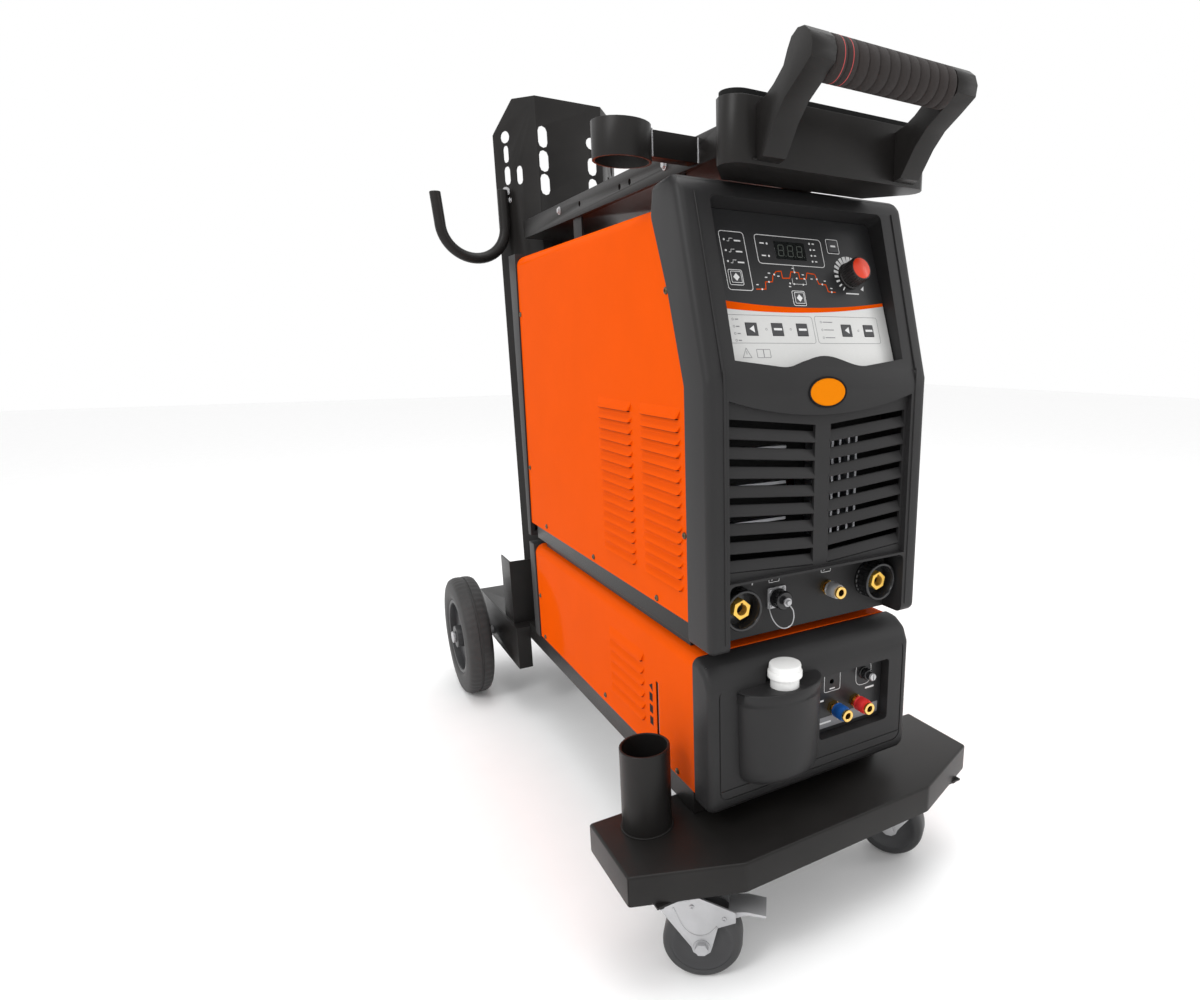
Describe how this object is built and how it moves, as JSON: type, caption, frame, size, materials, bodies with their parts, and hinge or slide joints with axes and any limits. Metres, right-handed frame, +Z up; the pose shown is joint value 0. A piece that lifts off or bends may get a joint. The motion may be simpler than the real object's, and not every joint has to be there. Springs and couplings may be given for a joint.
{
  "type": "tig welder",
  "caption": "Wheeled TIG welding set: inverter power source on a water cooler, on a trolley with a bottle platform, slotted column, cable hook, tool tray and push handle.",
  "frame": {"origin": "on the floor, under the middle of the whole object's box", "axes": "+Z up; the control panels face -Y and the gas bottle platform is at +Y; +X is to the right of someone facing the control panels"},
  "size_m": [0.554, 1.2298, 1.2225],
  "materials": {
    "black_coat": "satin black powder coat",
    "orange_coat": "gloss orange powder coat",
    "dark_moulding": "fine grained charcoal moulding",
    "panel_film": "satin printed membrane",
    "socket_plastic": "black nylon",
    "zinc": "bright zinc plate",
    "brass": "turned brass",
    "cast_aluminium": "bare aluminium",
    "grip_foam": "ribbed foam",
    "tyre_rubber": "matt rubber",
    "wheel_plastic": "black moulded nylon",
    "white_plastic": "white polypropylene",
    "knob_plastic": "ribbed black with a red-orange cap",
    "key_rubber": "dark membrane keys",
    "blue_paint": "blue anodised look",
    "red_paint": "red anodised look",
    "red_plastic": "red switch handle",
    "fan_plastic": "black fan"
  },
  "bodies": {
    "trolley": {"front_step": "black_coat", "rod_tube": "black_coat", "base_frame": "black_coat", "bottle_platform": "black_coat", "back_column": "black_coat", "cable_hook": "black_coat", "top_rails": "black_coat", "top_tray": "black_coat", "handle_frame": "black_coat", "handle_grip": "grip_foam", "ring_holder": "black_coat", "rear_axle": "zinc", "power_chassis": "black_coat", "power_cover": "orange_coat", "power_bezel": "dark_moulding", "power_rear_panel": "dark_moulding", "control_panel": "panel_film", "left_dinse_socket": "socket_plastic", "right_dinse_socket": "socket_plastic", "control_socket": "zinc", "gas_outlet": "brass", "cable_gland": "socket_plastic", "inverter_module": "cast_aluminium", "cooler_chassis": "black_coat", "cooler_cover": "orange_coat", "cooler_bezel": "dark_moulding", "cooler_rear_panel": "dark_moulding", "coolant_tank": "white_plastic", "connector_panel": "panel_film", "water_couplers": "brass", "pump": "cast_aluminium", "radiator": "cast_aluminium"},
    "left_rear_wheel": {"left_rear_tyre": "tyre_rubber", "left_rear_hub": "wheel_plastic"},
    "right_rear_wheel": {"right_rear_tyre": "tyre_rubber", "right_rear_hub": "wheel_plastic"},
    "left_castor": {"left_castor_fork": "zinc"},
    "left_castor_roller": {"left_castor_wheel": "tyre_rubber"},
    "left_castor_pedal": {"left_castor_brake": "zinc"},
    "right_castor": {"right_castor_fork": "zinc"},
    "right_castor_roller": {"right_castor_wheel": "tyre_rubber"},
    "right_castor_pedal": {"right_castor_brake": "zinc"},
    "adjust_knob": {"adjust_knob": "knob_plastic"},
    "mode_key": {"mode_key": "key_rubber"},
    "point_key": {"point_key": "key_rubber"},
    "channel_key": {"channel_key": "key_rubber"},
    "stroke_key": {"stroke_key": "key_rubber"},
    "water_key": {"water_key": "key_rubber"},
    "start_key": {"start_key": "key_rubber"},
    "function_key": {"function_key": "key_rubber"},
    "remote_key": {"remote_key": "key_rubber"},
    "filler_cap": {"filler_cap": "white_plastic"},
    "dust_cap": {"dust_cap": "socket_plastic"},
    "gas_outlet_sleeve": {"gas_outlet_sleeve": "zinc"},
    "blue_sleeve": {"blue_sleeve": "blue_paint"},
    "red_sleeve": {"red_sleeve": "red_paint"},
    "fuse_cap": {"fuse_cap": "socket_plastic"},
    "mains_switch": {"mains_switch": "red_plastic"},
    "power_fan": {"power_fan": "fan_plastic"},
    "cooler_fan": {"cooler_fan": "fan_plastic"}
  },
  "joints": [
    {"name": "left_rear_wheel_spin", "type": "hinge", "parent": "trolley", "child": "left_rear_wheel", "pos_m": [-0.237, 0.4862, 0.1325], "axis": [1, 0, 0], "continuous": true},
    {"name": "right_rear_wheel_spin", "type": "hinge", "parent": "trolley", "child": "right_rear_wheel", "pos_m": [0.237, 0.4862, 0.1325], "axis": [1, 0, 0], "continuous": true},
    {"name": "left_castor_swivel", "type": "hinge", "parent": "trolley", "child": "left_castor", "pos_m": [-0.2045, -0.4901, 0.12], "axis": [0, 0, 1], "continuous": true},
    {"name": "left_castor_spin", "type": "hinge", "parent": "left_castor", "child": "left_castor_roller", "pos_m": [-0.17648, -0.50936, 0.05], "axis": [0.5664, 0.8241, 0], "continuous": true},
    {"name": "left_castor_brake_press", "type": "hinge", "parent": "left_castor", "child": "left_castor_pedal", "pos_m": [-0.14681, -0.52975, 0.093], "axis": [0.5664, 0.8241, 0], "range_deg": [0, 10]},
    {"name": "right_castor_swivel", "type": "hinge", "parent": "trolley", "child": "right_castor", "pos_m": [0.2045, -0.4901, 0.12], "axis": [0, 0, 1], "continuous": true},
    {"name": "right_castor_spin", "type": "hinge", "parent": "right_castor", "child": "right_castor_roller", "pos_m": [0.18428, -0.46277, 0.05], "axis": [-0.8039, -0.5948, 0], "continuous": true},
    {"name": "right_castor_brake_press", "type": "hinge", "parent": "right_castor", "child": "right_castor_pedal", "pos_m": [0.16286, -0.43383, 0.093], "axis": [-0.8039, -0.5948, 0], "range_deg": [0, 10]},
    {"name": "adjust_knob_turn", "type": "hinge", "parent": "trolley", "child": "adjust_knob", "pos_m": [0.0755, -0.45224, 0.85216], "axis": [0, -0.9397, 0.342], "continuous": true},
    {"name": "mode_key_press", "type": "slide", "parent": "trolley", "child": "mode_key", "axis": [0, 0.9397, -0.342], "range_m": [0, 0.0008], "stiffness_N_per_m": 300},
    {"name": "point_key_press", "type": "slide", "parent": "trolley", "child": "point_key", "axis": [0, 0.9397, -0.342], "range_m": [0, 0.0008], "stiffness_N_per_m": 300},
    {"name": "channel_key_press", "type": "slide", "parent": "trolley", "child": "channel_key", "axis": [0, 0.9397, -0.342], "range_m": [0, 0.0008], "stiffness_N_per_m": 300},
    {"name": "stroke_key_press", "type": "slide", "parent": "trolley", "child": "stroke_key", "axis": [0, 0.9397, -0.342], "range_m": [0, 0.0008], "stiffness_N_per_m": 300},
    {"name": "water_key_press", "type": "slide", "parent": "trolley", "child": "water_key", "axis": [0, 0.9397, -0.342], "range_m": [0, 0.0008], "stiffness_N_per_m": 300},
    {"name": "start_key_press", "type": "slide", "parent": "trolley", "child": "start_key", "axis": [0, 0.9397, -0.342], "range_m": [0, 0.0008], "stiffness_N_per_m": 300},
    {"name": "function_key_press", "type": "slide", "parent": "trolley", "child": "function_key", "axis": [0, 0.9397, -0.342], "range_m": [0, 0.0008], "stiffness_N_per_m": 300},
    {"name": "remote_key_press", "type": "slide", "parent": "trolley", "child": "remote_key", "axis": [0, 0.9397, -0.342], "range_m": [0, 0.0008], "stiffness_N_per_m": 300},
    {"name": "filler_cap_lift", "type": "slide", "parent": "trolley", "child": "filler_cap", "axis": [0, 0, 1], "range_m": [0, 0.03]},
    {"name": "dust_cap_turn", "type": "hinge", "parent": "trolley", "child": "dust_cap", "pos_m": [-0.0455, -0.485, 0.4625], "axis": [0, -1, 0], "range_deg": [0, 360]},
    {"name": "gas_outlet_sleeve_slide", "type": "slide", "parent": "trolley", "child": "gas_outlet_sleeve", "axis": [0, 1, 0], "range_m": [0, 0.003], "stiffness_N_per_m": 800},
    {"name": "blue_sleeve_slide", "type": "slide", "parent": "trolley", "child": "blue_sleeve", "axis": [0, 1, 0], "range_m": [0, 0.003], "stiffness_N_per_m": 800},
    {"name": "red_sleeve_slide", "type": "slide", "parent": "trolley", "child": "red_sleeve", "axis": [0, 1, 0], "range_m": [0, 0.003], "stiffness_N_per_m": 800},
    {"name": "fuse_cap_turn", "type": "hinge", "parent": "trolley", "child": "fuse_cap", "pos_m": [0.0906, -0.5, 0.333], "axis": [0, -1, 0], "range_deg": [0, 90]},
    {"name": "mains_switch_turn", "type": "hinge", "parent": "trolley", "child": "mains_switch", "pos_m": [0.085, 0.215, 0.86], "axis": [0, 1, 0], "range_deg": [0, 90]},
    {"name": "power_fan_spin", "type": "hinge", "parent": "trolley", "child": "power_fan", "pos_m": [0, 0.18, 0.62], "axis": [0, 1, 0], "continuous": true},
    {"name": "cooler_fan_spin", "type": "hinge", "parent": "trolley", "child": "cooler_fan", "pos_m": [0, 0.18, 0.308], "axis": [0, 1, 0], "continuous": true}
  ]
}
